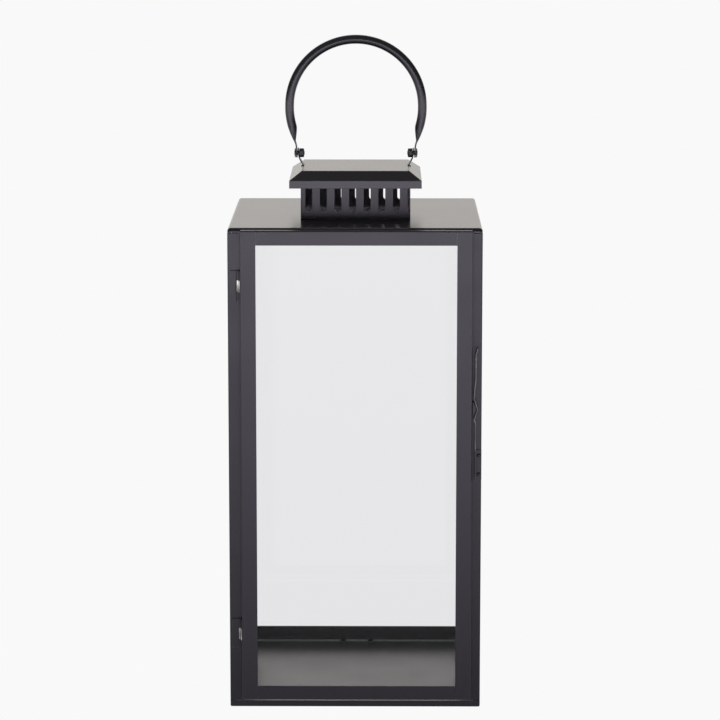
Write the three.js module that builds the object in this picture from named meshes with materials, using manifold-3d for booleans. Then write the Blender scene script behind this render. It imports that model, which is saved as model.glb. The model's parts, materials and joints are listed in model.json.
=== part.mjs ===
// Candle lantern: a sheet-metal and glass case with a hinged door, a slotted vent under a hood,
// and a bail handle.
// Millimetres, +Z up. X runs left to right seen from the door, Y runs from the door to the back.
// The origin is on the ground, under the middle of the case.
import * as THREE from 'three';
import { mergeVertices } from 'three/addons/utils/BufferGeometryUtils.js';
import Module from 'manifold-3d';

const wasm = await Module();
wasm.setup();

// ---- Case ----
const caseWidth = 220;
const caseDepth = 220;
const caseHeight = 425.5;
const clearance = 0.3;
const sheet = 1.2;
const trayHeight = 5.7;
const postLeg = 13.5;
const railHeight = 16;
const roofLip = 4.2;
const roofEdgeRadius = 3;
const glassThickness = 2;

// ---- Glass clips ----
const clipSheet = 1;
const clipStemWidth = 5;
const clipHeadWidth = 7.2;
const clipHeadHeight = 2.3;
const clipHeight = 9.5;
const clipFoot = 5;
const clipSpacing = 26;

// ---- Door ----
const doorHingeMargin = 11;
const doorCatchMargin = 8.5;
const doorBottomGap = 2.6;
const doorTopGap = 1.3;
const doorDepth = 8;
const doorStandOff = 0.6;
const doorSheet = 1;
const stileWidth = 13.6;
const doorRailWidth = 12.7;

// ---- Hinges ----
const hingeHeight = 26.5;
const upperHingeInset = 49.8;
const lowerHingeInset = 61.5;
const hingeSheet = 0.8;
const leafWidth = 5.3;
const knuckleRadius = 1.5;
const pinRadius = 0.65;
const pinBoreRadius = 0.9;
const middleKnuckle = 10.5;
const doorLeafDepth = 3.4;
const hingeNest = 0.1;

// ---- Door catch ----
const catchSheet = 0.8;
const catchWidth = 7.4;
const catchGap = 2.4;
const catchPlateBottom = 205;
const catchPlateHeight = 26.6;
const catchFootWidth = 5.3;
const catchSpringHeight = 90;
const catchNotchHeight = 36.6;
const catchNotchHalf = 9.3;
const catchNotchDepth = 1.8;
const catchThrow = 1;
const catchTopOffset = 0.25;
const catchRamp = 3;
const catchShoulder = 8;
const catchTipRise = 6;
const catchTipThrow = 1.6;
const lugHeight = 13;
const lugDepth = 5.6;
const lugRoot = 0.6;
const lugTipHalf = 0.6;
const lugTipGap = 0.7;
const rivetRadius = 1.7;
const rivetHeadHeight = 0.8;
const rivetSpacing = 16.7;
const rivetOffset = 0.2;

// ---- Vent and hood ----
const ventWidth = 96.4;
const ventSheet = 1;
const slotWidth = 6;
const slotPitch = 12.83;
const firstSlot = 7.1;
const slotFloor = 5.6;
const hoodOverhang = 9.8;
const hoodTopInset = 1;
const hoodSheet = 1;
const hoodSkirtBottom = 28.1;
const hoodSkirt = 6.7;
const hoodRise = 7.7;

// ---- Handle ----
const handleSpread = 15.8;
const handleTube = 8;
const handleCentreAbovePivot = 41.9;
const limbFlare = 0.45;
const pivotAboveHood = 11;
const padSpread = 5.45;
const padThickness = 1.4;
const padRadius = 4.2;
const padBendRise = 7.2;
const crimpHalfWidth = 4.9;
const crimpStart = THREE.MathUtils.degToRad(17);
const crimpEnd = THREE.MathUtils.degToRad(30.5);
const earSheet = 0.9;
const earWidth = 14;
const earTopRadius = 4.6;
const earFoot = 9;
const earRootInset = 0.4;
const earBendRise = 0.8;
const earShoulder = 1.5;
const earStraight = 3.4;
const earSlotInner = 0.5;
const earSlotOuter = 1.5;
const earSlotDepth = 4;
const screwRadius = 2;
const screwHoleRadius = 2.3;
const screwHeadRadius = 4.2;
const screwHeadHeight = 1.35;
const nutAcrossFlats = 7;
const nutLength = 4.3;

// ---- Places worked out from the sizes above ----
const halfWidth = caseWidth / 2;
const halfDepth = caseDepth / 2;
const roofUnderside = caseHeight - sheet;
const postBottom = trayHeight + clearance;
const postTop = caseHeight - roofLip - clearance;
const paneOuter = sheet + clearance;
const paneInner = paneOuter + glassThickness;
const paneBottom = sheet + clearance;
const paneTop = roofUnderside - clearance;
const doorLeft = -halfWidth + doorHingeMargin;
const doorRight = halfWidth - doorCatchMargin;
const doorBottom = trayHeight + clearance + doorBottomGap;
const doorTop = caseHeight - doorTopGap;
const doorBack = -halfDepth - doorStandOff;
const doorFront = doorBack - doorDepth;
const hoodWidth = ventWidth + 2 * hoodOverhang;
const hoodTopWidth = ventWidth - 2 * hoodTopInset;
const hoodBottom = caseHeight + hoodSkirtBottom;
const hoodEaves = hoodBottom + hoodSkirt;
const hoodTop = hoodEaves + hoodRise;
const handleOuterRadius = hoodTopWidth / 2 + handleSpread;
const pivotHeight = hoodTop + pivotAboveHood;
const handleCentre = pivotHeight + handleCentreAbovePivot;
const barRadius = handleTube / 2;
const padPlane = hoodTopWidth / 2 + padSpread;
const earPlane = padPlane - padThickness / 2 - clearance - earSheet / 2;

// ---- Finishes ----
const paint = { color: 0x2a2a2d, roughness: 0.42, metalness: 0.1 };
const glazing = { color: 0xe6ecea, roughness: 0.05, metalness: 0, transparent: true, opacity: 0.25 };
const steel = { color: 0x55555a, roughness: 0.35, metalness: 0.9 };

// ---- Making and joining solids ----
function solidOf(geometry) {
  const bare = geometry.clone();
  bare.deleteAttribute('normal');
  bare.deleteAttribute('uv');
  const merged = mergeVertices(bare, 1e-4);
  const corners = merged.index.array;
  const triVerts = [];
  for (let i = 0; i < corners.length; i += 3) {
    const [a, b, c] = [corners[i], corners[i + 1], corners[i + 2]];
    if (a !== b && b !== c && c !== a) triVerts.push(a, b, c);
  }
  return new wasm.Manifold(new wasm.Mesh({
    numProp: 3,
    vertProperties: new Float32Array(merged.attributes.position.array),
    triVerts: new Uint32Array(triVerts),
  }));
}

function geometryOf(solid) {
  const mesh = solid.getMesh();
  const geometry = new THREE.BufferGeometry();
  geometry.setAttribute('position', new THREE.BufferAttribute(mesh.vertProperties, 3));
  geometry.setIndex(new THREE.BufferAttribute(mesh.triVerts, 1));
  geometry.computeVertexNormals();
  return geometry;
}

function join(...geometries) {
  return geometries.map(solidOf).reduce((whole, part) => whole.add(part));
}

function block(x0, x1, y0, y1, z0, z1) {
  const middle = [(x0 + x1) / 2, (y0 + y1) / 2, (z0 + z1) / 2];
  return new THREE.BoxGeometry(x1 - x0, y1 - y0, z1 - z0).translate(...middle);
}

function extrude(outline, depth) {
  const drawn = Array.isArray(outline);
  const shape = drawn ? new THREE.Shape(outline.map(([u, v]) => new THREE.Vector2(u, v))) : outline;
  return new THREE.ExtrudeGeometry(shape, { depth, bevelEnabled: false, curveSegments: 5 });
}

// Outline in X and Y, raised from z0 to z1.
function upright(outline, z0, z1) {
  return extrude(outline, z1 - z0).translate(0, 0, z0);
}

// Outline in X and Z, carried along Y.
function alongY(outline, y0, y1) {
  return extrude(outline, y1 - y0).rotateX(Math.PI / 2).translate(0, y1, 0);
}

// Outline in Y and Z, carried along X.
function alongX(outline, x0, x1) {
  const turn = new THREE.Matrix4().makeBasis(
    new THREE.Vector3(0, 1, 0),
    new THREE.Vector3(0, 0, 1),
    new THREE.Vector3(1, 0, 0),
  );
  return extrude(outline, x1 - x0).applyMatrix4(turn).translate(x0, 0, 0);
}

function rodZ(radius, x, y, z0, z1, sides = 16) {
  const rod = new THREE.CylinderGeometry(radius, radius, z1 - z0, sides);
  return rod.rotateX(Math.PI / 2).translate(x, y, (z0 + z1) / 2);
}

function rodX(radius, x0, x1, y, z, sides = 16) {
  const rod = new THREE.CylinderGeometry(radius, radius, x1 - x0, sides);
  return rod.rotateZ(Math.PI / 2).translate((x0 + x1) / 2, y, z);
}

const lantern = new THREE.Group();
const door = new THREE.Group();
lantern.add(door);

function piece(name, body, finish, group = lantern) {
  const geometry = body.isBufferGeometry ? body : geometryOf(body);
  const mesh = new THREE.Mesh(geometry, new THREE.MeshStandardMaterial(finish));
  mesh.name = name;
  group.add(mesh);
}

// ---- Case: tray, corner posts, rails and roof ----
function baseTray() {
  const outside = block(-halfWidth, halfWidth, -halfDepth, halfDepth, 0, trayHeight);
  const wallX = halfWidth - sheet;
  const wallY = halfDepth - sheet;
  const inside = block(-wallX, wallX, -wallY, wallY, sheet, trayHeight + 1);
  piece('base_tray', solidOf(outside).subtract(solidOf(inside)), paint);
}

function cornerPost(name, sideX, sideY) {
  const outerX = sideX * halfWidth;
  const outerY = sideY * halfDepth;
  const angle = [
    [outerX, outerY],
    [outerX - sideX * postLeg, outerY],
    [outerX - sideX * postLeg, outerY - sideY * sheet],
    [outerX - sideX * sheet, outerY - sideY * sheet],
    [outerX - sideX * sheet, outerY - sideY * postLeg],
    [outerX, outerY - sideY * postLeg],
  ];
  piece(name, upright(angle, postBottom, postTop), paint);
}

function rails(level, z0, z1) {
  const alongBack = halfWidth - postLeg - clearance;
  const alongSide = halfDepth - postLeg - clearance;
  piece(`back_${level}_rail`, block(-alongBack, alongBack, halfDepth - sheet, halfDepth, z0, z1), paint);
  piece(`left_${level}_rail`, block(-halfWidth, -halfWidth + sheet, -alongSide, alongSide, z0, z1), paint);
  piece(`right_${level}_rail`, block(halfWidth - sheet, halfWidth, -alongSide, alongSide, z0, z1), paint);
}

function roofPanel() {
  const inset = roofEdgeRadius;
  const plan = new THREE.Shape();
  plan.moveTo(-halfWidth + inset, -halfDepth + inset);
  plan.lineTo(halfWidth - inset, -halfDepth + inset);
  plan.lineTo(halfWidth - inset, halfDepth - inset);
  plan.lineTo(-halfWidth + inset, halfDepth - inset);
  const lipBottom = caseHeight - roofLip;
  const slab = new THREE.ExtrudeGeometry(plan, {
    depth: roofLip,
    bevelThickness: inset,
    bevelSize: inset,
    bevelSegments: 5,
  }).translate(0, 0, lipBottom - inset);
  const below = block(-halfWidth, halfWidth, -halfDepth, halfDepth, lipBottom - 2 * inset, lipBottom);
  const wallX = halfWidth - sheet;
  const wallY = halfDepth - sheet;
  const under = block(-wallX, wallX, -wallY, wallY, lipBottom - 1, roofUnderside);
  const hole = ventWidth / 2 - ventSheet - clearance;
  const throat = block(-hole, hole, -hole, hole, roofUnderside - 1, caseHeight + 1);
  const lid = [below, under, throat].reduce((rest, cut) => rest.subtract(solidOf(cut)), solidOf(slab));
  piece('roof_panel', lid, paint);
}

// ---- Glass and its clips ----
function fixedPanes() {
  const backSpan = halfWidth - paneOuter;
  const back = block(-backSpan, backSpan, halfDepth - paneInner, halfDepth - paneOuter, paneBottom, paneTop);
  piece('back_glass', back, glazing);
  const front = -halfDepth + paneOuter;
  const rear = halfDepth - paneInner - clearance;
  const left = block(-halfWidth + paneOuter, -halfWidth + paneInner, front, rear, paneBottom, paneTop);
  const right = block(halfWidth - paneInner, halfWidth - paneOuter, front, rear, paneBottom, paneTop);
  piece('left_glass', left, glazing);
  piece('right_glass', right, glazing);
}

// A tee-headed tab: it stands on its foot and its head leans over the pane behind it.
// It is made standing at the origin with the pane towards +Y, then turned and moved.
function glassClip(name, turn, x, y, z, hangs, group = lantern) {
  const body = join(
    block(-clipStemWidth / 2, clipStemWidth / 2, 0, clipSheet, 0, clipHeight - clipHeadHeight / 2),
    block(-clipHeadWidth / 2, clipHeadWidth / 2, 0, clipSheet, clipHeight - clipHeadHeight, clipHeight),
    block(-clipStemWidth / 2, clipStemWidth / 2, -clipFoot, clipSheet / 2, 0, clipSheet),
  );
  const geometry = geometryOf(body);
  if (hangs) geometry.rotateY(Math.PI);
  piece(name, geometry.rotateZ(turn).translate(x, y, z), paint, group);
}

function fixedPaneClips() {
  const reachX = halfWidth - paneInner - clearance - clipSheet;
  const reachY = halfDepth - paneInner - clearance - clipSheet;
  const walls = [
    ['back', 0, 0, reachY],
    ['left', Math.PI / 2, -reachX, 0],
    ['right', -Math.PI / 2, reachX, 0],
  ];
  for (const [wall, turn, x, y] of walls) {
    for (const [place, side] of [['a', -1], ['b', 1]]) {
      const slideX = wall === 'back' ? side * clipSpacing / 2 : 0;
      const slideY = wall === 'back' ? 0 : side * clipSpacing / 2;
      const [clipX, clipY] = [x + slideX, y + slideY];
      glassClip(`${wall}_lower_clip_${place}`, turn, clipX, clipY, sheet + clearance, false);
      glassClip(`${wall}_upper_clip_${place}`, turn, clipX, clipY, roofUnderside - clearance, true);
    }
  }
}

// ---- Door: folded stiles and rails, glass, clips, door halves of the hinges, lug ----
function doorStile(name, outer, side) {
  const angle = [
    [outer, doorFront],
    [outer, doorBack],
    [outer + side * doorSheet, doorBack],
    [outer + side * doorSheet, doorFront + doorSheet],
    [outer + side * stileWidth, doorFront + doorSheet],
    [outer + side * stileWidth, doorFront],
  ];
  piece(name, upright(angle, doorBottom, doorTop), paint, door);
}

function doorRail(name, outer, side) {
  const angle = [
    [doorFront, outer],
    [doorBack, outer],
    [doorBack, outer + side * doorSheet],
    [doorFront + doorSheet, outer + side * doorSheet],
    [doorFront + doorSheet, outer + side * doorRailWidth],
    [doorFront, outer + side * doorRailWidth],
  ];
  const left = doorLeft + stileWidth + clearance;
  const right = doorRight - stileWidth - clearance;
  piece(name, alongX(angle, left, right), paint, door);
}

function doorPane() {
  const wall = doorSheet + clearance;
  const front = doorFront + wall;
  const back = front + glassThickness;
  const pane = block(doorLeft + wall, doorRight - wall, front, back, doorBottom + wall, doorTop - wall);
  piece('door_glass', pane, glazing, door);
  const middle = (doorLeft + doorRight) / 2;
  for (const [place, side] of [['a', -1], ['b', 1]]) {
    const x = middle + side * clipSpacing / 2;
    const y = back + clearance + clipSheet;
    // The door's clips face the other way: their feet point to the back of the door, cut to its depth.
    doorClip(`door_lower_clip_${place}`, x, y, doorBottom + wall, false);
    doorClip(`door_upper_clip_${place}`, x, y, doorTop - wall, true);
  }
}

function doorClip(name, x, y, z, hangs) {
  const foot = doorBack - y;
  const body = join(
    block(-clipStemWidth / 2, clipStemWidth / 2, -clipSheet, 0, 0, clipHeight),
    block(-clipStemWidth / 2, clipStemWidth / 2, -clipSheet / 2, foot, 0, clipSheet),
  );
  const geometry = geometryOf(body);
  if (hangs) geometry.rotateY(Math.PI);
  piece(name, geometry.translate(x, y, z), paint, door);
}

// ---- Hinges: three knuckles on a pin, just in front of the post and beside the door ----
const hingeY = -halfDepth - clearance - knuckleRadius;
const hingeX = doorLeft - clearance - knuckleRadius + hingeNest;

function hinge(name, middle) {
  const bottom = middle - hingeHeight / 2;
  const top = middle + hingeHeight / 2;
  const innerBottom = middle - middleKnuckle / 2;
  const innerTop = middle + middleKnuckle / 2;
  const leafFront = -halfDepth - clearance - hingeSheet;
  const leafBackFace = leafFront + hingeSheet;
  const bore = solidOf(rodZ(pinBoreRadius, hingeX, hingeY, bottom - 1, top + 1));

  // The leaf stops short of the middle knuckle, and reaches its own two knuckles above and below it.
  const leafEdge = hingeX - knuckleRadius - clearance;
  const postLeaf = join(
    block(leafEdge - leafWidth, leafEdge, leafFront, leafBackFace, bottom, top),
    block(leafEdge - hingeSheet, hingeX - pinBoreRadius, leafFront, leafBackFace, bottom, innerBottom),
    block(leafEdge - hingeSheet, hingeX - pinBoreRadius, leafFront, leafBackFace, innerTop, top),
    rodZ(knuckleRadius, hingeX, hingeY, bottom, innerBottom),
    rodZ(knuckleRadius, hingeX, hingeY, innerTop, top),
  );
  piece(`${name}_hinge_post_leaf`, postLeaf.subtract(bore), paint);

  const leafRight = doorLeft - clearance;
  const leafLeft = leafRight - hingeSheet;
  const leafBack = hingeY - knuckleRadius - clearance;
  const tongueBottom = innerBottom + clearance;
  const tongueTop = innerTop - clearance;
  const doorLeaf = join(
    block(leafLeft, leafRight, leafBack - doorLeafDepth, leafBack, bottom, top),
    block(leafLeft, leafRight, leafBack - hingeSheet, hingeY - pinBoreRadius / 2, tongueBottom, tongueTop),
    rodZ(knuckleRadius, hingeX, hingeY, tongueBottom, tongueTop),
  );
  piece(`${name}_hinge_door_leaf`, doorLeaf.subtract(bore), steel, door);
  piece(`${name}_hinge_pin`, rodZ(pinRadius, hingeX, hingeY, bottom, top, 12), steel);
}

// ---- Door catch: a riveted foot, a leaf spring with a notch, and the door's lug ----
const catchX = doorRight + catchGap + catchSheet / 2;
const catchBack = doorBack;
const catchFront = doorBack - catchWidth;
const catchRoot = catchPlateBottom + catchPlateHeight + clearance;

function catchFoot() {
  const standing = catchX - catchSheet / 2;
  const right = standing + catchSheet + catchFootWidth;
  const plateFront = -halfDepth - clearance - catchSheet;
  const top = catchPlateBottom + catchPlateHeight;
  const body = join(
    block(standing, standing + catchSheet, catchFront, plateFront + catchSheet, catchPlateBottom, top),
    block(standing, right, plateFront, plateFront + catchSheet, catchPlateBottom, top),
  );
  piece('catch_foot', body, paint);
  const middle = catchPlateBottom + catchPlateHeight / 2;
  const x = standing + catchSheet + catchFootWidth / 2 + rivetOffset;
  for (const [place, side] of [['lower', -1], ['upper', 1]]) {
    const head = new THREE.LatheGeometry(domeProfile(rivetRadius, rivetHeadHeight), 16);
    head.rotateX(Math.PI).translate(x, plateFront - clearance, middle + side * rivetSpacing / 2);
    piece(`catch_rivet_${place}`, solidOf(head), paint);
  }
}

// The profile of a low dome, from the middle of its flat face round to its crown.
function domeProfile(radius, height, steps = 5) {
  const points = [new THREE.Vector2(0, 0)];
  for (let i = 0; i <= steps; i += 1) {
    const angle = i / steps * Math.PI / 2;
    points.push(new THREE.Vector2(radius * Math.cos(angle), height * (0.2 + 0.8 * Math.sin(angle))));
  }
  points[points.length - 1].x = 0;
  return points;
}

// The spring's middle line, from its root up: a run, the notch, a shoulder, a run and a turned-out tip.
function catchLine() {
  const notch = catchRoot + catchNotchHeight;
  const mouth = catchX - catchThrow;
  return [
    [catchX, catchRoot],
    [catchX, notch - catchNotchHalf - catchRamp],
    [mouth, notch - catchNotchHalf],
    [catchX + catchNotchDepth, notch],
    [mouth, notch + catchNotchHalf],
    [mouth + catchTopOffset, notch + catchNotchHalf + catchShoulder],
    [catchX + catchTopOffset, notch + catchNotchHalf + 2 * catchShoulder],
    [catchX + catchTopOffset, catchRoot + catchSpringHeight - catchTipRise],
    [catchX + catchTopOffset + catchTipThrow, catchRoot + catchSpringHeight],
  ];
}

// A strip of even thickness (measured along X) about a line that climbs in Z.
function stripOutline(line, thickness) {
  const left = line.map(([x, z]) => [x - thickness / 2, z]);
  const right = line.map(([x, z]) => [x + thickness / 2, z]).reverse();
  return [...left, ...right];
}

function catchSpring() {
  piece('catch_spring', alongY(stripOutline(catchLine(), catchSheet), catchFront, catchBack), steel);
}

function doorLug() {
  const notch = catchRoot + catchNotchHeight;
  const inner = doorRight + clearance;
  const tip = catchX + catchNotchDepth - catchSheet / 2 - lugTipGap;
  const wedge = [
    [inner, notch - lugHeight / 2],
    [inner + lugRoot, notch - lugHeight / 2],
    [tip, notch - lugTipHalf],
    [tip, notch + lugTipHalf],
    [inner + lugRoot, notch + lugHeight / 2],
    [inner, notch + lugHeight / 2],
  ];
  const middle = (catchFront + catchBack) / 2;
  piece('door_lug', alongY(wedge, middle - lugDepth / 2, middle + lugDepth / 2), paint, door);
}

// ---- Vent band: one slotted strip folded into a square ----
const hoodSlope = hoodRise / ((hoodWidth - hoodTopWidth) / 2);
const hoodWallUp = hoodSheet * Math.hypot(1, hoodSlope);
const ventBottom = caseHeight + clearance;
const ventTop = hoodTop - (ventWidth - hoodTopWidth) / 2 * hoodSlope - hoodWallUp - clearance;

function slotCutter() {
  const radius = slotWidth / 2;
  const low = ventBottom + slotFloor + radius;
  const high = hoodEaves - radius;
  const outline = new THREE.Shape();
  outline.moveTo(-radius, high);
  outline.lineTo(-radius, low);
  outline.absarc(0, low, radius, Math.PI, 2 * Math.PI, false);
  outline.lineTo(radius, high);
  outline.absarc(0, high, radius, 0, Math.PI, false);
  return alongY(outline, -ventSheet, ventSheet);
}

function ventBand() {
  const half = ventWidth / 2;
  const bore = half - ventSheet;
  let band = solidOf(block(-half, half, -half, half, ventBottom, ventTop));
  band = band.subtract(solidOf(block(-bore, bore, -bore, bore, ventBottom - 1, ventTop + 1)));
  const slots = Math.floor((4 * ventWidth - firstSlot) / slotPitch) + 1;
  for (let side = 0; side < 4; side += 1) {
    for (let i = 0; i < slots; i += 1) {
      const along = firstSlot + i * slotPitch - side * ventWidth;
      if (along < -slotWidth / 2 || along > ventWidth + slotWidth / 2) continue;
      const cutter = slotCutter().translate(along - half, -half + ventSheet / 2, 0);
      band = band.subtract(solidOf(cutter.rotateZ(side * Math.PI / 2)));
    }
  }
  piece('vent_band', band, paint);
}

// ---- Hood: a shallow pyramid with a skirt and a flat top ----
function ventHood() {
  const inner = hoodWidth / 2 - hoodSheet;
  const innerEaves = hoodEaves + hoodSlope * hoodSheet - hoodWallUp;
  const innerTop = hoodTopWidth / 2 - (hoodWallUp - hoodSheet) / hoodSlope;
  const corner = Math.SQRT2;
  const profile = [
    [0, hoodTop - hoodSheet],
    [innerTop, hoodTop - hoodSheet],
    [inner, innerEaves],
    [inner, hoodBottom],
    [hoodWidth / 2, hoodBottom],
    [hoodWidth / 2, hoodEaves],
    [hoodTopWidth / 2, hoodTop],
    [0, hoodTop],
  ].map(([r, z]) => new THREE.Vector2(r * corner, z));
  const shell = solidOf(new THREE.LatheGeometry(profile, 4, Math.PI / 4).rotateX(Math.PI / 2));
  const slotHalf = earWidth / 2 + clearance;
  let hood = shell;
  for (const side of [-1, 1]) {
    const near = side * (earRoot - earSheet / 2 - earSlotInner);
    const far = side * (earRoot + earSheet / 2 + earSlotOuter);
    const [left, right] = [Math.min(near, far), Math.max(near, far)];
    const cut = block(left, right, -slotHalf, slotHalf, hoodTop - earSlotDepth, hoodTop + 1);
    hood = hood.subtract(solidOf(cut));
  }
  piece('vent_hood', hood, paint);
}

// ---- Ears: strips that stand through the hood and carry the handle ----
const earRoot = hoodTopWidth / 2 - earRootInset;

function earStrip() {
  const footTop = hoodTop - hoodSheet - clearance;
  const bendZ = hoodTop + earBendRise;
  const straightZ = pivotHeight - earStraight;
  const half = earSheet / 2;
  return [
    [earRoot - earFoot, footTop],
    [earRoot - earFoot, footTop - earSheet],
    [earRoot + half, footTop - earSheet],
    [earRoot + half, bendZ],
    [earPlane + half, straightZ],
    [earPlane + half, pivotHeight + earTopRadius],
    [earPlane - half, pivotHeight + earTopRadius],
    [earPlane - half, straightZ],
    [earRoot - half, bendZ],
    [earRoot - half, footTop],
  ];
}

function earFace() {
  const shoulder = hoodTop + earShoulder;
  const waist = pivotHeight - earTopRadius - earBendRise;
  const face = new THREE.Shape();
  face.moveTo(-earWidth / 2, hoodTop - earWidth / 2);
  face.lineTo(earWidth / 2, hoodTop - earWidth / 2);
  face.lineTo(earWidth / 2, shoulder);
  face.quadraticCurveTo(earTopRadius, waist, earTopRadius, pivotHeight);
  face.absarc(0, pivotHeight, earTopRadius, 0, Math.PI, false);
  face.quadraticCurveTo(-earTopRadius, waist, -earWidth / 2, shoulder);
  return face;
}

function ear(name, side) {
  const strip = solidOf(alongY(earStrip(), -earWidth / 2, earWidth / 2));
  const face = solidOf(alongX(earFace(), 0, handleOuterRadius));
  const hole = solidOf(rodX(screwHoleRadius, earPlane - 3, earPlane + 3, 0, pivotHeight));
  const geometry = geometryOf(strip.intersect(face).subtract(hole));
  piece(name, side < 0 ? geometry.rotateZ(Math.PI) : geometry, paint);
}

// ---- Pivot screws and nuts ----
function pivotScrew(name, side) {
  const seat = padPlane + padThickness / 2 + clearance;
  const end = earPlane - earSheet / 2 - clearance - nutLength;
  const dome = domeProfile(screwHeadRadius, screwHeadHeight, 6).slice(1).map(({ x, y }) => [x, seat + y]);
  const profile = [[0, end], [screwRadius, end], [screwRadius, seat], [screwHeadRadius, seat], ...dome];
  const points = profile.map(([r, x]) => new THREE.Vector2(r, x));
  const screw = new THREE.LatheGeometry(points, 16).rotateZ(-Math.PI / 2).translate(0, 0, pivotHeight);
  piece(name, solidOf(side < 0 ? screw.rotateZ(Math.PI) : screw), steel);
}

function pivotNut(name, side) {
  const outer = earPlane - earSheet / 2 - clearance;
  const cornerRadius = nutAcrossFlats / Math.sqrt(3);
  const hexagon = solidOf(rodX(cornerRadius, outer - nutLength, outer, 0, pivotHeight, 6));
  const bore = solidOf(rodX(screwHoleRadius, outer - nutLength - 1, outer + 1, 0, pivotHeight));
  const geometry = geometryOf(hexagon.subtract(bore));
  piece(name, side < 0 ? geometry.rotateZ(Math.PI) : geometry, steel);
}

// ---- Handle: a bent tube whose ends are crimped flat and drilled ----
// One limb is described from its pivot pad (0) to the crown (1); the other limb is its mirror.
// Below the arc's centre the limbs flare, so that they come down straighter than the arc.
const padEnd = 0.12;
const crimpSpan = 0.32;

function limbStation(t) {
  const flat = padThickness / 2;
  if (t < padEnd) {
    const reach = handleOuterRadius + limbFlare - flat;
    const top = new THREE.Vector2(-reach * Math.cos(crimpEnd), -reach * Math.sin(crimpEnd));
    const bend = new THREE.QuadraticBezierCurve(
      new THREE.Vector2(-padPlane, -handleCentreAbovePivot),
      new THREE.Vector2(-padPlane, padBendRise - handleCentreAbovePivot),
      top,
    );
    const climb = bend.getTangent(t / padEnd);
    const outward = new THREE.Vector2(-climb.y, climb.x);
    const wide = THREE.MathUtils.lerp(padRadius, crimpHalfWidth, t / padEnd);
    return { point: bend.getPoint(t / padEnd), outward, thick: flat, wide };
  }
  const squeeze = THREE.MathUtils.clamp((t - padEnd) / (crimpSpan - padEnd), 0, 1);
  const below = t < crimpSpan
    ? THREE.MathUtils.lerp(crimpEnd, crimpStart, squeeze)
    : THREE.MathUtils.lerp(crimpStart, -Math.PI / 2, (t - crimpSpan) / (1 - crimpSpan));
  const swell = Math.sin(squeeze * Math.PI / 2);
  const thick = THREE.MathUtils.lerp(flat, barRadius, swell);
  const wide = THREE.MathUtils.lerp(crimpHalfWidth, barRadius, swell);
  const outward = new THREE.Vector2(-Math.cos(below), -Math.sin(below));
  const flare = limbFlare * THREE.MathUtils.clamp(below / crimpStart, 0, 1);
  const reach = handleOuterRadius + flare - thick;
  return { point: outward.clone().multiplyScalar(reach), outward, thick, wide };
}

function handleBar() {
  const sides = 12;
  const steps = 60;
  const bar = new THREE.CylinderGeometry(1, 1, 1, sides, steps);
  const place = bar.attributes.position;
  for (let i = 0; i < place.count; i += 1) {
    const along = place.getY(i) + 0.5;
    const mirrored = along > 0.5 ? -1 : 1;
    const { point, outward, thick, wide } = limbStation(2 * Math.min(along, 1 - along));
    point.addScaledVector(outward, place.getX(i) * thick);
    place.setXYZ(i, mirrored * point.x, place.getZ(i) * wide, handleCentre + point.y);
  }
  return bar;
}

function handle() {
  let bail = solidOf(handleBar());
  for (const side of [-1, 1]) {
    const x = side * padPlane;
    const pad = rodX(padRadius, x - padThickness / 2, x + padThickness / 2, 0, pivotHeight, 20);
    const hole = rodX(screwHoleRadius, x - 3, x + 3, 0, pivotHeight);
    bail = bail.add(solidOf(pad)).subtract(solidOf(hole));
  }
  piece('handle', bail, paint);
}

// ---- Assembly ----
baseTray();
for (const [front, sideY] of [['front', -1], ['back', 1]]) {
  for (const [left, sideX] of [['left', -1], ['right', 1]]) {
    cornerPost(`${front}_${left}_post`, sideX, sideY);
  }
}
rails('bottom', postBottom, railHeight);
rails('top', postTop - railHeight, postTop);
roofPanel();
fixedPanes();
fixedPaneClips();
ventBand();
ventHood();
doorStile('door_left_stile', doorLeft, 1);
doorStile('door_right_stile', doorRight, -1);
doorRail('door_bottom_rail', doorBottom, 1);
doorRail('door_top_rail', doorTop, -1);
doorPane();
hinge('upper', caseHeight - upperHingeInset);
hinge('lower', trayHeight + lowerHingeInset);
catchFoot();
catchSpring();
doorLug();
for (const [left, side] of [['left', -1], ['right', 1]]) {
  ear(`${left}_ear`, side);
  pivotScrew(`${left}_pivot_screw`, side);
  pivotNut(`${left}_pivot_nut`, side);
}
handle();

export default lantern;
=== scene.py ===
# A black powder-coated candle lantern in a plain pale studio. Metres, +Z up, the door faces -Y.
import json
import math

import bmesh
import bpy
from mathutils import Euler, Matrix, Vector


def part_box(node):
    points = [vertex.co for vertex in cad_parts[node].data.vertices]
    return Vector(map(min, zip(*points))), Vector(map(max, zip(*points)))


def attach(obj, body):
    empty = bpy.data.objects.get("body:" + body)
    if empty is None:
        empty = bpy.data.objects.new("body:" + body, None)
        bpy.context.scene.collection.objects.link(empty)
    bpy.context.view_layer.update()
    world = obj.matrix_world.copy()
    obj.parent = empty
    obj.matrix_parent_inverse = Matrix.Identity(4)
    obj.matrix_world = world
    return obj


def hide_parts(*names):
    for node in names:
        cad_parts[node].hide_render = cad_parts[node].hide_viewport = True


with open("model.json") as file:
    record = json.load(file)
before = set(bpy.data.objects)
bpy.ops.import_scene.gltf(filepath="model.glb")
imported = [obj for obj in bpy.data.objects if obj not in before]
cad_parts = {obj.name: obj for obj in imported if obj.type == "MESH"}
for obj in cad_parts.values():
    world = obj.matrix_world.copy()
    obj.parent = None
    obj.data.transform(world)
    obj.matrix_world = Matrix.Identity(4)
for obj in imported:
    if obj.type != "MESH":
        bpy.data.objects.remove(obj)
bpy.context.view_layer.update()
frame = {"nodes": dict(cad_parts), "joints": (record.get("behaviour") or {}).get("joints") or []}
MM = 0.001

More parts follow.
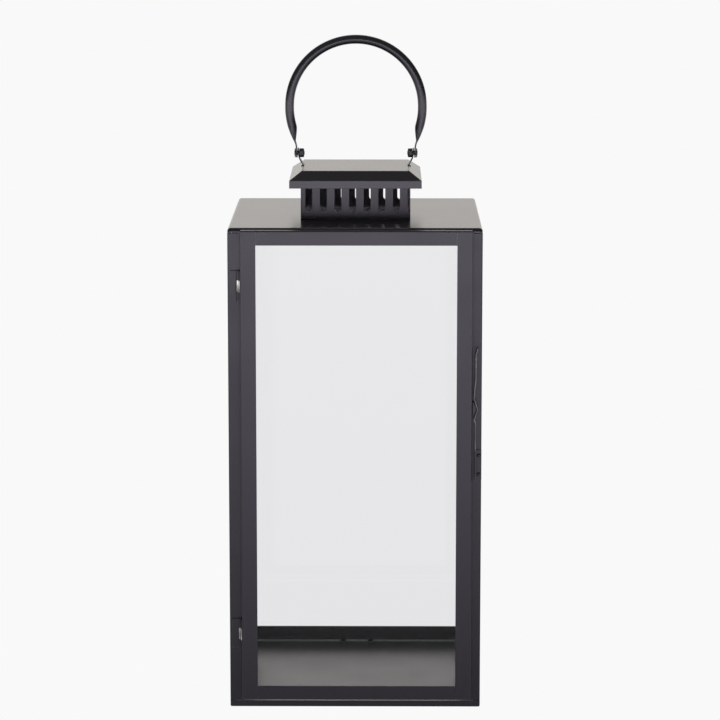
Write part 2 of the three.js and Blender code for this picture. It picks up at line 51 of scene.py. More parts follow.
# ---- Sizes of the sheet metal and of the small parts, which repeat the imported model's ----
CASE_SHEET = 1.2 * MM
DOOR_SHEET = 1.0 * MM
HOOD_SHEET = 1.0 * MM
VENT_SHEET = 1.0 * MM
TAB_SHEET = 1.0 * MM
HINGE_SHEET = 0.8 * MM
CATCH_SHEET = 0.8 * MM
EAR_SHEET = 0.9 * MM
CLEARANCE = 0.3 * MM
PAD_PLANE = 52.65 * MM
PAD_SHEET = 1.4 * MM
EAR_PLANE = PAD_PLANE - PAD_SHEET / 2 - CLEARANCE - EAR_SHEET / 2
HOOD_SKIRT = 6.7 * MM
HOOD_TOP_HALF = 47.2 * MM
EAR_ROOT = HOOD_TOP_HALF - 0.4 * MM
BOX_WALLS = ("-x", "+x", "-y", "+y", "-z", "+z")


def joint_place(name):
    return next(joint["pos_m"] for joint in frame["joints"] if joint["name"] == name)


# ---- Camera ----
def make_camera():
    """A long lens in front, a little above, looking slightly down."""
    look_down = 9.813
    look_left = 0.382
    data = bpy.data.cameras.new("camera")
    data.lens = 154.4
    data.sensor_width = 36.0
    data.clip_end = 200.0
    camera = bpy.data.objects.new("camera", data)
    camera.location = (0.0219, -2.7435, 0.7661)
    camera.rotation_euler = Euler((math.radians(90 - look_down), 0.0, math.radians(look_left)))
    bpy.context.scene.collection.objects.link(camera)
    bpy.context.scene.camera = camera


# ---- Nodes ----
def add(tree, kind, links=None, **settings):
    """Adds a node. Each link names an input and gives it a value or another node's output."""
    node = tree.nodes.new(kind)
    for name, value in settings.items():
        setattr(node, name, value)
    for name, source in (links or {}).items():
        if isinstance(source, bpy.types.NodeSocket):
            tree.links.new(source, node.inputs[name])
        else:
            node.inputs[name].default_value = source
    return node


def linear(text):
    """An sRGB hex colour as the linear colour that a shader takes."""
    values = [int(text[i:i + 2], 16) / 255 for i in (1, 3, 5)]
    curve = [v / 12.92 if v <= 0.04045 else ((v + 0.055) / 1.055) ** 2.4 for v in values]
    return curve + [1.0]


def new_material(name):
    material = bpy.data.materials.new(name)
    material.use_nodes = True
    tree = material.node_tree
    return material, tree, tree.nodes["Principled BSDF"]


# ---- Materials ----
def powder_coat(name, dark, light, smooth, rough, peel):
    """Polyester powder baked on steel: a satin film with a fine orange peel. It is thin and a little
    rubbed on the folds, and a trace of dust lies on what faces up."""
    dust = linear("#a39a8c")
    worn = linear("#6c6b70")
    material, tree, shader = new_material(name)
    place = add(tree, "ShaderNodeTexCoord").outputs["Object"]
    flow = add(tree, "ShaderNodeTexNoise", {"Vector": place, "Scale": 1 / (38 * MM), "Detail": 3.0})
    peel_bumps = add(tree, "ShaderNodeTexNoise", {"Vector": place, "Scale": 1 / (2.2 * MM), "Detail": 1.0})
    specks = add(tree, "ShaderNodeTexNoise", {"Vector": place, "Scale": 1 / (1.1 * MM), "Detail": 4.0})
    wear = add(tree, "ShaderNodeTexNoise", {"Vector": place, "Scale": 1 / (7 * MM), "Detail": 5.0})
    film = add(tree, "ShaderNodeMix", {
        "Factor": flow.outputs["Fac"], "A": linear(dark), "B": linear(light)}, data_type="RGBA")

    facing = add(tree, "ShaderNodeNewGeometry").outputs["Normal"]
    up = add(tree, "ShaderNodeSeparateXYZ", {"Vector": facing}).outputs["Z"]
    lying = add(tree, "ShaderNodeMapRange", {"Value": up, "From Min": 0.75, "From Max": 1.0})
    settled = add(tree, "ShaderNodeMapRange", {
        "Value": specks.outputs["Fac"], "From Min": 0.45, "From Max": 0.75, "To Max": 0.05})
    dusty = add(tree, "ShaderNodeMath", {0: lying.outputs["Result"], 1: settled.outputs["Result"]},
                operation="MULTIPLY")
    dusted = add(tree, "ShaderNodeMix", {
        "Factor": dusty.outputs["Value"], "A": film.outputs["Result"], "B": dust}, data_type="RGBA")

    edge = add(tree, "ShaderNodeAttribute", attribute_name="edge").outputs["Fac"]
    patchy = add(tree, "ShaderNodeMapRange", {
        "Value": wear.outputs["Fac"], "From Min": 0.42, "From Max": 0.7, "To Min": 0.06, "To Max": 0.5})
    rubbed = add(tree, "ShaderNodeMath", {0: edge, 1: patchy.outputs["Result"]}, operation="MULTIPLY")
    coloured = add(tree, "ShaderNodeMix", {
        "Factor": rubbed.outputs["Value"], "A": dusted.outputs["Result"], "B": worn}, data_type="RGBA")
    tree.links.new(coloured.outputs["Result"], shader.inputs["Base Color"])

    satin = add(tree, "ShaderNodeMapRange", {
        "Value": flow.outputs["Fac"], "From Min": 0.3, "From Max": 0.7, "To Min": smooth, "To Max": rough})
    dull = add(tree, "ShaderNodeMath", {0: dusty.outputs["Value"], 1: 0.5, 2: satin.outputs["Result"]},
               operation="MULTIPLY_ADD")
    tree.links.new(dull.outputs["Value"], shader.inputs["Roughness"])
    relief = add(tree, "ShaderNodeBump", {
        "Height": peel_bumps.outputs["Fac"], "Strength": peel, "Distance": 0.1 * MM})
    tree.links.new(relief.outputs["Normal"], shader.inputs["Normal"])
    shader.inputs["IOR"].default_value = 1.5
    shader.inputs["Specular Tint"].default_value = (0.90, 0.84, 1.0, 1.0)
    return material


def float_glass():
    """Clear float glass: a weak even reflection and a body without colour. Where it is ground it turns
    frosted, pale green and partly opaque; the same look on a band at a pane's foot is a painted highlight."""
    material, tree, shader = new_material("clear_float_glass")
    place = add(tree, "ShaderNodeTexCoord").outputs["Object"]
    smear = add(tree, "ShaderNodeTexNoise", {"Vector": place, "Scale": 1 / (60 * MM), "Detail": 4.0})
    clean = add(tree, "ShaderNodeMapRange", {
        "Value": smear.outputs["Fac"], "From Min": 0.5, "From Max": 0.8, "To Max": 0.04})
    edge = add(tree, "ShaderNodeAttribute", attribute_name="edge").outputs["Fac"]
    frosted = add(tree, "ShaderNodeMath", {0: edge, 1: 0.55, 2: clean.outputs["Result"]},
                  operation="MULTIPLY_ADD")
    tint = add(tree, "ShaderNodeMix", {"Factor": edge, "A": linear("#fefeff"), "B": linear("#dfeee6")},
               data_type="RGBA")
    tree.links.new(tint.outputs["Result"], shader.inputs["Base Color"])
    tree.links.new(frosted.outputs["Value"], shader.inputs["Roughness"])
    shader.inputs["IOR"].default_value = 1.5
    clear = add(tree, "ShaderNodeMath", {0: edge, 1: -0.6, 2: 1.0}, operation="MULTIPLY_ADD")
    tree.links.new(clear.outputs["Value"], shader.inputs["Transmission Weight"])
    shader.inputs["Specular Tint"].default_value = (0.25, 0.25, 0.25, 1.0)
    return material


def rubbed_steel(name, paint, bare, least, most):
    """Painted steel that moving parts have rubbed: dull black paint, and bright steel where it has gone."""
    material, tree, shader = new_material(name)
    place = add(tree, "ShaderNodeTexCoord").outputs["Object"]
    long_way = add(tree, "ShaderNodeMapping", {"Vector": place, "Scale": (1.0, 1.0, 0.25)}).outputs["Vector"]
    scuff = add(tree, "ShaderNodeTexNoise", {"Vector": long_way, "Scale": 1 / (2.5 * MM), "Detail": 5.0})
    edge = add(tree, "ShaderNodeAttribute", attribute_name="edge").outputs["Fac"]
    spread = add(tree, "ShaderNodeMapRange", {
        "Value": scuff.outputs["Fac"], "From Min": 0.35, "From Max": 0.65, "To Min": least, "To Max": most})
    gone = add(tree, "ShaderNodeMath", {0: edge, 1: 0.3, 2: spread.outputs["Result"]},
               operation="MULTIPLY_ADD", use_clamp=True)
    colour = add(tree, "ShaderNodeMix", {
        "Factor": gone.outputs["Value"], "A": linear(paint), "B": linear(bare)}, data_type="RGBA")
    tree.links.new(colour.outputs["Result"], shader.inputs["Base Color"])
    tree.links.new(gone.outputs["Value"], shader.inputs["Metallic"])
    rough = add(tree, "ShaderNodeMapRange", {"Value": gone.outputs["Value"], "To Min": 0.42, "To Max": 0.27})
    tree.links.new(rough.outputs["Result"], shader.inputs["Roughness"])
    relief = add(tree, "ShaderNodeBump", {
        "Height": scuff.outputs["Fac"], "Strength": 0.1, "Distance": 0.05 * MM})
    tree.links.new(relief.outputs["Normal"], shader.inputs["Normal"])
    return material


# ---- Mesh helpers ----
def new_piece(name, bm):
    mesh = bpy.data.meshes.new(name)
    bm.to_mesh(mesh)
    bm.free()
    piece = bpy.data.objects.new(name, mesh)
    bpy.context.scene.collection.objects.link(piece)
    return piece


def settle(piece):
    """Makes a piece and its modifiers one plain mesh."""
    bpy.context.view_layer.update()
    evaluated = piece.evaluated_get(bpy.context.evaluated_depsgraph_get())
    mesh = bpy.data.meshes.new_from_object(evaluated)
    piece.modifiers.clear()
    piece.data = mesh
    return piece


def close_up(bm, apart=0.002 * MM):
    """Merges what meets, drops what has no area, and points every face outwards."""
    bmesh.ops.remove_doubles(bm, verts=bm.verts, dist=apart)
    bmesh.ops.dissolve_degenerate(bm, edges=bm.edges, dist=apart)
    bmesh.ops.recalc_face_normals(bm, faces=bm.faces)


def break_edges(piece, width, segments=2, sharper_than=35, smooth=True):
    """Rounds the sharp edges, and marks the new narrow faces with the attribute edge."""
    piece.data.materials.clear()
    for _ in range(2):
        piece.data.materials.append(None)
    for face in piece.data.polygons:
        face.material_index = 0
    bevel = piece.modifiers.new("rounding", "BEVEL")
    bevel.width = width
    bevel.segments = segments
    bevel.limit_method = "ANGLE"
    bevel.angle_limit = math.radians(sharper_than)
    bevel.material = 1
    settle(piece)
    mesh = piece.data
    narrow = mesh.attributes.new("edge", "FLOAT", "FACE")
    for face in mesh.polygons:
        narrow.data[face.index].value = float(face.material_index == 1)
        face.material_index = 0
    return smooth_over(piece) if smooth else piece


def smooth_over(piece):
    """Shades the round faces smoothly and keeps the flat ones flat."""
    mesh = piece.data
    mesh.shade_smooth()
    mesh.set_sharp_from_angle(angle=math.radians(50))
    weights = piece.modifiers.new("weights", "WEIGHTED_NORMAL")
    weights.keep_sharp = True
    return settle(piece)


def copy_of(node, name):
    """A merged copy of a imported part, with its flat faces whole."""
    bm = bmesh.new()
    bm.from_mesh(frame["nodes"][node].data)
    bmesh.ops.remove_doubles(bm, verts=bm.verts, dist=0.002 * MM)
    bmesh.ops.dissolve_limit(bm, angle_limit=math.radians(1), verts=bm.verts, edges=bm.edges)
    return new_piece(name, bm)


def box_faces(bm, low, high, walls):
    """Adds the named walls of a box, facing outwards. A wall is a sign and an axis, such as -x."""
    corners = {}
    for i in (0, 1):
        for j in (0, 1):
            for k in (0, 1):
                spot = [(low, high)[n][axis] for axis, n in enumerate((i, j, k))]
                corners[i, j, k] = bm.verts.new(spot)
    faces = {}
    for wall in walls:
        axis = "xyz".index(wall[1])
        far = int(wall[0] == "+")
        ring = []
        for pair in ((0, 0), (1, 0), (1, 1), (0, 1)):
            key = list(pair)
            key.insert(axis, far)
            ring.append(corners[tuple(key)])
        face = bm.faces.new(ring)
        face.normal_update()
        if face.normal[axis] * (far - 0.5) < 0:
            face.normal_flip()
        faces[wall] = face
    bmesh.ops.delete(bm, geom=[v for v in bm.verts if not v.link_faces], context="VERTS")
    return faces


def round_folds(bm, radius, segments=5):
    """Turns each line where two walls meet into a round fold."""
    folds = [edge for edge in bm.edges if len(edge.link_faces) == 2 and edge.calc_face_angle() > 0.2]
    bmesh.ops.bevel(bm, geom=folds, offset=radius, offset_type="OFFSET", segments=segments, profile=0.5,
                    affect="EDGES", clamp_overlap=False)


def thicken(piece, sheet, offset=-1.0, even=True):
    """Gives a folded surface its thickness, inwards unless the offset says otherwise."""
    solid = piece.modifiers.new("thickness", "SOLIDIFY")
    solid.thickness = sheet
    solid.offset = offset
    solid.use_even_offset = even
    return settle(piece)


def cut_block(piece, low, high, place=Matrix.Identity(4)):
    """Cuts a box out of a piece."""
    bm = bmesh.new()
    box_faces(bm, low, high, BOX_WALLS)
    bmesh.ops.transform(bm, matrix=place, verts=bm.verts)
    block = new_piece("cutter", bm)
    cut = piece.modifiers.new("cut", "BOOLEAN")
    cut.object = block
    cut.operation = "DIFFERENCE"
    settle(piece)
    bpy.data.objects.remove(block)


def folded_sheet(name, low, high, walls, sheet, fold, rim=0.2 * MM):
    """Some walls of a box, folded from one sheet."""
    bm = bmesh.new()
    box_faces(bm, low, high, walls)
    round_folds(bm, fold)
    return break_edges(thicken(new_piece(name, bm), sheet), rim)


def lathe(name, profile, place, steps=32):
    """Turns a profile of (radius, height) points about Z, and puts it in its place."""
    bm = bmesh.new()
    points = [bm.verts.new((radius, 0.0, height)) for radius, height in profile]
    lines = [bm.edges.new(pair) for pair in zip(points, points[1:])]
    bmesh.ops.spin(bm, geom=points + lines, cent=(0, 0, 0), axis=(0, 0, 1), angle=math.tau, steps=steps)
    close_up(bm)
    bmesh.ops.transform(bm, matrix=place, verts=bm.verts)
    piece = new_piece(name, bm)
    if place.determinant() < 0:
        piece.data.flip_normals()
    return piece


def join_into(name, pieces):
    """One piece from several."""
    bm = bmesh.new()
    for part in pieces:
        bm.from_mesh(part.data)
        bpy.data.objects.remove(part)
    return new_piece(name, bm)


def dress(piece, nodes, body, material):
    """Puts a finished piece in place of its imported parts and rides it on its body."""
    piece.data.materials.clear()
    piece.data.materials.append(material)
    for face in piece.data.polygons:
        face.material_index = 0
    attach(piece, body)
    if nodes:
        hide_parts(*nodes)


# ---- Geometry Nodes ----
def geometry_tree(name, inputs):
    """A tree with a geometry going in and coming out, and named inputs given as (kind, value)."""
    tree = bpy.data.node_groups.new(name, "GeometryNodeTree")
    tree.interface.new_socket("Geometry", in_out="INPUT", socket_type="NodeSocketGeometry")
    tree.interface.new_socket("Geometry", in_out="OUTPUT", socket_type="NodeSocketGeometry")
    for label, (kind, value) in inputs.items():
        socket = tree.interface.new_socket(label, in_out="INPUT", socket_type="NodeSocket" + kind)
        if value is not None:
            socket.default_value = value
    return tree, add(tree, "NodeGroupInput").outputs


def finish_tree(tree, geometry, material):
    """Ends a tree in Realize Instances and Set Material."""
    real = add(tree, "GeometryNodeRealizeInstances", {"Geometry": geometry})
    painted = add(tree, "GeometryNodeSetMaterial", {"Geometry": real.outputs[0], "Material": material})
    add(tree, "NodeGroupOutput", {"Geometry": painted.outputs[0]})
    return tree


def grow(piece, tree, values):
    """Runs a tree on a piece, with values for its named inputs, and keeps the plain mesh."""
    sockets = {}
    for item in tree.interface.items_tree:
        if item.in_out == "INPUT":
            sockets[item.name] = item.identifier
    modifier = piece.modifiers.new(tree.name, "NODES")
    modifier.node_group = tree
    for label, value in values.items():
        modifier[sockets[label]] = value
    return settle(piece)


def bent_strip_tree():
    """A strip of sheet that follows a line lying in X and Y, with round bends and its width along Z."""
    tree, given = geometry_tree("bent_strip", {
        "Thickness": ("Float", 1 * MM),
        "Width": ("Float", 10 * MM),
        "Bend Radius": ("Float", 1 * MM),
        "Finish": ("Material", None),
    })
    line = add(tree, "GeometryNodeMeshToCurve", {"Mesh": given["Geometry"]})
    bent = add(tree, "GeometryNodeFilletCurve", {"Curve": line.outputs[0], "Count": 6, "Limit Radius": True,
                                                 "Radius": given["Bend Radius"]}, mode="POLY")
    level = add(tree, "GeometryNodeSetCurveNormal", {"Curve": bent.outputs[0]}, mode="Z_UP")
    section = add(tree, "GeometryNodeCurvePrimitiveQuadrilateral", {
        "Width": given["Thickness"], "Height": given["Width"]})
    strip = add(tree, "GeometryNodeCurveToMesh", {
        "Curve": level.outputs[0], "Fill Caps": True, "Profile Curve": section.outputs[0]})
    return finish_tree(tree, strip.outputs[0], given["Finish"])


def copies_tree():
    """Copies of one small part, one at each point, turned by the angles in the point's attribute turn."""
    tree, given = geometry_tree("copies_at_points", {
        "Part": ("Object", None),
        "Finish": ("Material", None),
    })
    part = add(tree, "GeometryNodeObjectInfo", {"Object": given["Part"], "As Instance": True})
    turned = add(tree, "GeometryNodeInputNamedAttribute", {"Name": "turn"}, data_type="FLOAT_VECTOR")
    copies = add(tree, "GeometryNodeInstanceOnPoints", {
        "Points": given["Geometry"], "Instance": part.outputs["Geometry"]})
    spin = add(tree, "FunctionNodeEulerToRotation", {"Euler": turned.outputs["Attribute"]})
    tree.links.new(spin.outputs["Rotation"], copies.inputs["Rotation"])
    return finish_tree(tree, copies.outputs[0], given["Finish"])


def wrapped_band_tree():
    """Copies of one bay side by side, wrapped round a square that stands at the origin.
    The strip starts at the front left corner and runs to the right."""
    tree, given = geometry_tree("slotted_band", {
        "Side": ("Float", 100 * MM),
        "Corner Radius": ("Float", 1 * MM),
        "Bays": ("Int", 30),
        "Pitch": ("Float", 13 * MM),
        "Start": ("Float", 0.5 * MM),
        "Finish": ("Material", None),
    })
    step = add(tree, "ShaderNodeCombineXYZ", {"X": given["Pitch"]})
    row = add(tree, "GeometryNodeMeshLine", {"Count": given["Bays"], "Offset": step.outputs[0]})
    bays = add(tree, "GeometryNodeInstanceOnPoints", {
        "Points": row.outputs[0], "Instance": given["Geometry"]})
    real = add(tree, "GeometryNodeRealizeInstances", {"Geometry": bays.outputs[0]})
    strip = add(tree, "GeometryNodeMergeByDistance", {"Geometry": real.outputs[0], "Distance": 0.01 * MM})
    here = add(tree, "ShaderNodeSeparateXYZ", {"Vector": add(tree, "GeometryNodeInputPosition").outputs[0]})
    along = add(tree, "ShaderNodeMath", {0: here.outputs["X"], 1: given["Start"]}, operation="ADD")
    square = add(tree, "GeometryNodeCurvePrimitiveQuadrilateral", {
        "Width": given["Side"], "Height": given["Side"]})
    rounded = add(tree, "GeometryNodeFilletCurve", {
        "Curve": square.outputs[0], "Count": 6, "Radius": given["Corner Radius"]}, mode="POLY")
    turned = add(tree, "GeometryNodeTransform", {
        "Geometry": rounded.outputs[0], "Rotation": Euler((0, 0, math.pi))})
    path = add(tree, "GeometryNodeSampleCurve", {"Curves": turned.outputs[0], "Length": along.outputs[0]},
               mode="LENGTH")
    level = add(tree, "ShaderNodeSeparateXYZ", {"Vector": path.outputs["Position"]})
    goal = add(tree, "ShaderNodeCombineXYZ", {
        "X": level.outputs["X"], "Y": level.outputs["Y"], "Z": here.outputs["Z"]})
    band = add(tree, "GeometryNodeSetPosition", {"Geometry": strip.outputs[0], "Position": goal.outputs[0]})
    whole = add(tree, "GeometryNodeMergeByDistance", {"Geometry": band.outputs[0], "Distance": 0.05 * MM})
    return finish_tree(tree, whole.outputs[0], given["Finish"])


PLANES = {
    "xy": Matrix.Identity(4),
    "xz": Matrix(((1, 0, 0, 0), (0, 0, 1, 0), (0, 1, 0, 0), (0, 0, 0, 1))),
    "yz": Matrix(((0, 0, 1, 0), (1, 0, 0, 0), (0, 1, 0, 0), (0, 0, 0, 1))),
}


def bent_strip(name, line, plane, low, high, sheet, bend, rim=0.12 * MM):
    """A strip whose middle line lies in a plane, and whose width runs from low to high across it."""
    bm = bmesh.new()
    points = [bm.verts.new((u, v, 0.0)) for u, v in line]
    for pair in zip(points, points[1:]):
        bm.edges.new(pair)
    strip = grow(new_piece(name, bm), BENT_STRIP, {
        "Thickness": sheet, "Width": high - low, "Bend Radius": bend})
    strip.data.transform(PLANES[plane] @ Matrix.Translation((0, 0, (low + high) / 2)))
    bm = bmesh.new()
    bm.from_mesh(strip.data)
    close_up(bm)
    bm.to_mesh(strip.data)
    bm.free()
    return break_edges(strip, rim)


# ---- Case ----
def base_tray():
    low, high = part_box("base_tray")
    tray = folded_sheet("tray_pan", low, high, ("-z", "-x", "+x", "-y", "+y"), CASE_SHEET, 1.4 * MM)
    dress(tray, ["base_tray"], "case", SHADED_COAT)


def corner_posts():
    for front, wall_y in (("front", "-y"), ("back", "+y")):
        for left, wall_x in (("left", "-x"), ("right", "+x")):
            node = f"{front}_{left}_post"
            low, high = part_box(node)
            post = folded_sheet(f"{node}_angle", low, high, (wall_x, wall_y), CASE_SHEET, 1.5 * MM)
            dress(post, [node], "case", SHADED_COAT)


def case_rails():
    """Folded strips. The lower ones' feet reach down to the tray's floor."""
    drop = 0.27 * MM
    for wall in ("back", "left", "right"):
        for level in ("bottom", "top"):
            node = f"{wall}_{level}_rail"
            rail = copy_of(node, f"{node}_bar")
            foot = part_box(node)[0].z
            for vertex in rail.data.vertices:
                if level == "bottom" and vertex.co.z < foot + CLEARANCE:
                    vertex.co.z -= drop
            break_edges(rail, 0.1 * MM)
            dress(rail, [node], "case", SHADED_COAT)


def roof_panel():
    """The roof's edges are folded down all round, and its middle is cut out under the vent."""
    low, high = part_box("roof_panel")
    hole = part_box("vent_band")[1].x - VENT_SHEET - CLEARANCE
    bm = bmesh.new()
    top = box_faces(bm, low, high, ("+z", "-x", "+x", "-y", "+y"))["+z"]
    bmesh.ops.inset_region(bm, faces=[top], thickness=high.x - hole, use_even_offset=True)
    bmesh.ops.delete(bm, geom=[top], context="FACES")
    round_folds(bm, 3.0 * MM, 8)
    roof = break_edges(thicken(new_piece("roof_lid", bm), CASE_SHEET), 0.25 * MM)
    dress(roof, ["roof_panel"], "case", ROOF_COAT)


# ---- Glass ----
def pane(node, body):
    """A cut pane: its four narrow sides and their arrises are ground. A band along its foot is marked like
    them so that it shows pale: a painted highlight.
    """
    highlight_band_height = 1.6 * MM
    low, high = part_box(node)
    thin = min(range(3), key=lambda axis: high[axis] - low[axis])
    foot = low.z + highlight_band_height
    glass = copy_of(node, f"{node}_pane")
    bm = bmesh.new()
    bm.from_mesh(glass.data)
    bmesh.ops.bisect_plane(bm, geom=bm.verts[:] + bm.edges[:] + bm.faces[:], plane_co=(0, 0, foot),
                           plane_no=(0, 0, 1))
    bm.to_mesh(glass.data)
    bm.free()
    break_edges(glass, 0.3 * MM, 1)
    ground_or_highlight = glass.data.attributes["edge"].data
    for face in glass.data.polygons:
        # The ground sides are marked, and so is the band at the foot: a painted highlight.
        ground_or_highlight[face.index].value = float(abs(face.normal[thin]) < 0.99 or face.center.z < foot)
    dress(glass, [node], body, GLASS)


# ---- Tabs that hold the panes ----
def tab_part(name, stem, head, height, head_height, foot):
    """A tab of thin sheet: it stands up from a bent foot and may have a wider head.
    The pane is towards +Y and the foot runs towards -Y."""
    bm = bmesh.new()
    half = stem / 2
    wide = head / 2
    neck = height - head_height
    spots = [(-half, 0), (half, 0), (half, neck), (wide, neck), (wide, height), (-wide, height),
             (-wide, neck), (-half, neck)]
    ring = [bm.verts.new((x, TAB_SHEET, z)) for x, z in spots]
    bm.faces.new(ring[::-1])
    toe = [bm.verts.new((x, TAB_SHEET - foot, 0)) for x in (half, -half)]
    bm.faces.new([ring[0], ring[1], toe[0], toe[1]][::-1])
    bmesh.ops.recalc_face_normals(bm, faces=bm.faces)
    round_folds(bm, 1.2 * MM, 4)
    part = break_edges(thicken(new_piece(name, bm), TAB_SHEET, even=False), 0.15 * MM)
    part.hide_render = True
    return part


def copies(name, part, places):
    """Copies of a small part, each at a point and turned by three angles."""
    bm = bmesh.new()
    turn = bm.verts.layers.float_vector.new("turn")
    for spot, angles in places:
        bm.verts.new(spot)[turn] = angles
    return grow(new_piece(name, bm), COPIES, {"Part": part})


def pane_tabs():
    """Two tabs at the foot and two at the head of each pane; the upper ones hang upside down."""
    stem, head, height, head_height, foot = 5 * MM, 7.2 * MM, 9.5 * MM, 2.3 * MM, 5 * MM + TAB_SHEET / 2
    part = tab_part("tab_pattern", stem, head, height, head_height, foot)
    places = []
    nodes = []
    for wall, turn in (("back", 0.0), ("left", math.pi / 2), ("right", -math.pi / 2)):
        for level in ("lower", "upper"):
            for letter in "ab":
                node = f"{wall}_{level}_clip_{letter}"
                low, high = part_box(node)
                middle = (low + high) / 2
                pane_side = {
                    "back": (middle.x, high.y), "left": (low.x, middle.y), "right": (high.x, middle.y)}
                away = Matrix.Rotation(turn, 2) @ Vector((0, TAB_SHEET))
                x, y = Vector(pane_side[wall]) - away
                over = math.pi if level == "upper" else 0.0
                height = high.z if over else low.z
                places.append(((x, y, height), (0.0, over, turn)))
                nodes.append(node)
    tabs = copies("pane_tabs", part, places)
    dress(tabs, nodes, "case", TAB_BLACK)
    bpy.data.objects.remove(part)


def door_tabs():
    low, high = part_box("door_lower_clip_a")
    stem = high.x - low.x
    part = tab_part("door_tab_pattern", stem, stem, high.z - low.z, 1 * MM, high.y - low.y)
    places = []
    nodes = []
    for level in ("lower", "upper"):
        for letter in "ab":
            node = f"door_{level}_clip_{letter}"
            low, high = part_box(node)
            over = level == "upper"
            x = (low.x + high.x) / 2
            height = high.z if over else low.z
            places.append(((x, low.y + TAB_SHEET, height), (0.0, math.pi if over else 0.0, math.pi)))
            nodes.append(node)
    tabs = copies("door_pane_tabs", part, places)
    dress(tabs, nodes, "door", TAB_BLACK)
    bpy.data.objects.remove(part)


# ---- Door ----
def door_frame():
    """Each stile is folded shut at its ends, and the rails butt against the stiles."""
    fold = 1.2 * MM
    butt = Vector((0.25 * MM, 0, 0))
    for side, wall in (("left", "-x"), ("right", "+x")):
        node = f"door_{side}_stile"
        low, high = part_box(node)
        stile = folded_sheet(f"{node}_channel", low, high, ("-y", wall, "-z", "+z"), DOOR_SHEET, fold)
        dress(stile, [node], "door", LIT_COAT)
    for level, wall in (("bottom", "-z"), ("top", "+z")):
        node = f"door_{level}_rail"
        low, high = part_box(node)
        rail = folded_sheet(f"{node}_channel", low - butt, high + butt, ("-y", wall), DOOR_SHEET, fold,
                            0.1 * MM)
        dress(rail, [node], "door", LIT_COAT)


# ---- Hinges ----
def rolled(pin, radius, start, turn, steps=14):
    """The middle line of a knuckle rolled round a pin, as points from one angle through another."""
    points = []
    for i in range(steps + 1):
        angle = start + turn * i / steps
        points.append((pin[0] + radius * math.cos(angle), pin[1] + radius * math.sin(angle)))
    return points


def hinges():
    """Butt hinges. A leaf is a flat plate whose edge is rolled round the pin: the post's leaf at the top
    and foot, and the door's as a tongue between."""
    pin = joint_place("door_hinge")[:2]
    knuckle_turn = math.radians(300)
    overlap = 0.2 * MM
    plate_rim = 0.38 * MM
    crown_shoulder = 0.7
    for level in ("upper", "lower"):
        low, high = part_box(f"{level}_hinge_post_leaf")
        door_low, door_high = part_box(f"{level}_hinge_door_leaf")
        roll = high.x - pin[0] - HINGE_SHEET / 2
        middle = (low.z + high.z) / 2
        tongue_half = 5.25 * MM
        leaf_y = pin[1] + roll
        round_back = rolled(pin, roll, math.pi / 2, -knuckle_turn)
        flat = [(low.x, leaf_y), (pin[0] - roll - HINGE_SHEET / 2 - CLEARANCE, leaf_y)]
        curl = [(flat[1][0] - overlap, leaf_y)] + round_back
        parts = [
            bent_strip("leaf_plate", flat, "xy", low.z, high.z, HINGE_SHEET, 0.0, plate_rim),
            bent_strip("leaf_top", curl, "xy", middle + tongue_half, high.z, HINGE_SHEET, 0.0),
            bent_strip("leaf_bottom", curl, "xy", low.z, middle - tongue_half, HINGE_SHEET, 0.0),
        ]
        post_leaf = smooth_over(join_into(f"{level}_hinge_leaf", parts))
        dress(post_leaf, [f"{level}_hinge_post_leaf"], "case", SHADED_COAT)

        leaf_x = pin[0] + roll
        round_front = rolled(pin, roll, 0.0, knuckle_turn)
        tongue_half -= CLEARANCE
        plate = [(leaf_x, door_low.y), (leaf_x, pin[1] - roll - HINGE_SHEET / 2 - CLEARANCE)]
        tongue = [(leaf_x, door_low.y)] + round_front
        knuckle = bent_strip(f"{level}_hinge_door_knuckle", tongue, "xy", middle - tongue_half,
                             middle + tongue_half, HINGE_SHEET, 0.0)
        dress(knuckle, [f"{level}_hinge_door_leaf"], "door", HINGE_STEEL)
        parts = [
            bent_strip("plate_top", plate, "xy", middle + tongue_half, door_high.z, HINGE_SHEET, 0.0),
            bent_strip("plate_bottom", plate, "xy", door_low.z, middle - tongue_half, HINGE_SHEET, 0.0),
        ]
        plates = smooth_over(join_into(f"{level}_hinge_door_plate", parts))
        dress(plates, [], "door", SHADED_COAT)

        pin_low, pin_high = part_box(f"{level}_hinge_pin")
        radius = (pin_high.x - pin_low.x) / 2
        length = pin_high.z - pin_low.z
        crown = radius / 2
        bulge = crown * crown_shoulder
        profile = [(0, -crown), (radius * crown_shoulder, -bulge), (radius, 0), (radius, length),
                   (radius * crown_shoulder, length + bulge), (0, length + crown)]
        rod = lathe(f"{level}_hinge_pin_rod", profile, Matrix.Translation((*pin, pin_low.z)), 20)
        dress(smooth_over(rod), [f"{level}_hinge_pin"], "case", HINGE_STEEL)


